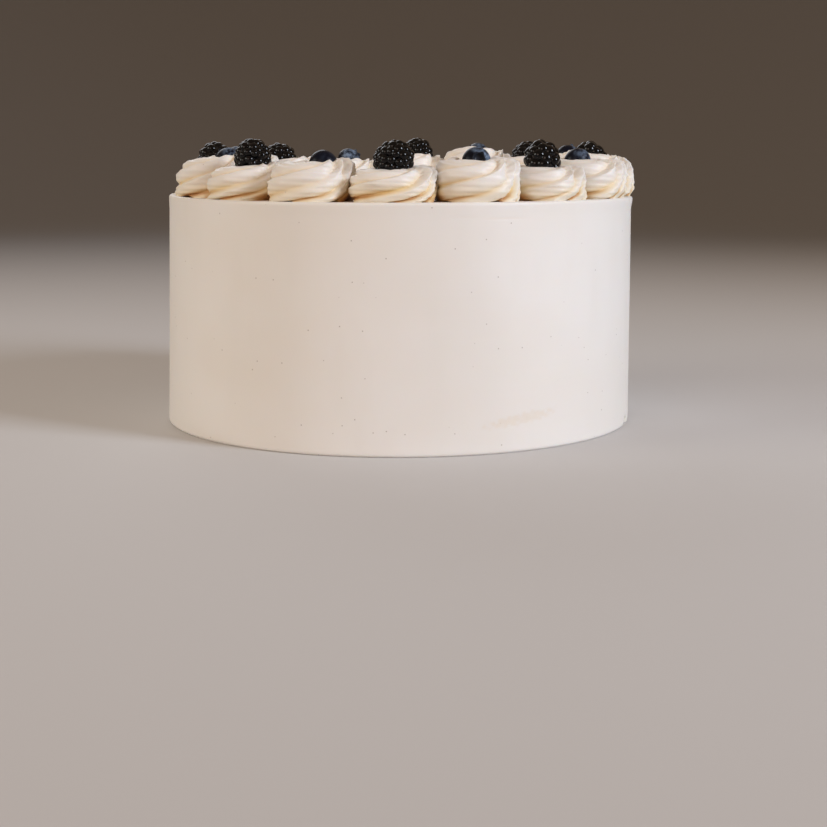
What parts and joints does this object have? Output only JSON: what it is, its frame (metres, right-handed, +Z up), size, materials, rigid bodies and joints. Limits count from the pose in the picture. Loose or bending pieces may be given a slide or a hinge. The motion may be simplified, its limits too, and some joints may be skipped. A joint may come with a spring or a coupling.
{
  "type": "frosted angel food cake",
  "caption": "Tall round cake coated in smooth pale frosting, with a ring of piped rosettes round the top edge, each holding one dark berry.",
  "frame": {"origin": "centre of the cake's flat base", "axes": "+Z up through the cake, -Y towards the front that the picture shows"},
  "size_m": [0.2075, 0.2052, 0.1246],
  "materials": {
    "frosting": "smooth satin buttercream with fine vanilla specks",
    "piping": "satin whipped buttercream, warmer and darker in its grooves",
    "black_berry_skin": "glossy wet black drupelets",
    "blue_berry_skin": "dark blue skin with a pale powdery bloom"
  },
  "bodies": {
    "root": {"frosted_cake": "frosting", "rosette_01": "piping", "rosette_02": "piping", "rosette_03": "piping", "rosette_04": "piping", "rosette_05": "piping", "rosette_06": "piping", "rosette_07": "piping", "rosette_08": "piping", "rosette_09": "piping", "rosette_10": "piping", "rosette_11": "piping", "rosette_12": "piping", "rosette_13": "piping", "rosette_14": "piping", "rosette_15": "piping", "rosette_16": "piping", "bramble_01": "black_berry_skin", "bramble_02": "black_berry_skin", "bramble_03": "black_berry_skin", "bramble_04": "black_berry_skin", "bramble_05": "black_berry_skin", "bramble_06": "black_berry_skin", "bramble_07": "black_berry_skin", "bramble_08": "black_berry_skin", "blueberry_01": "blue_berry_skin", "blueberry_02": "blue_berry_skin", "blueberry_03": "blue_berry_skin", "blueberry_04": "blue_berry_skin", "blueberry_05": "blue_berry_skin", "blueberry_06": "blue_berry_skin", "blueberry_07": "blue_berry_skin", "blueberry_08": "blue_berry_skin"}
  },
  "joints": []
}
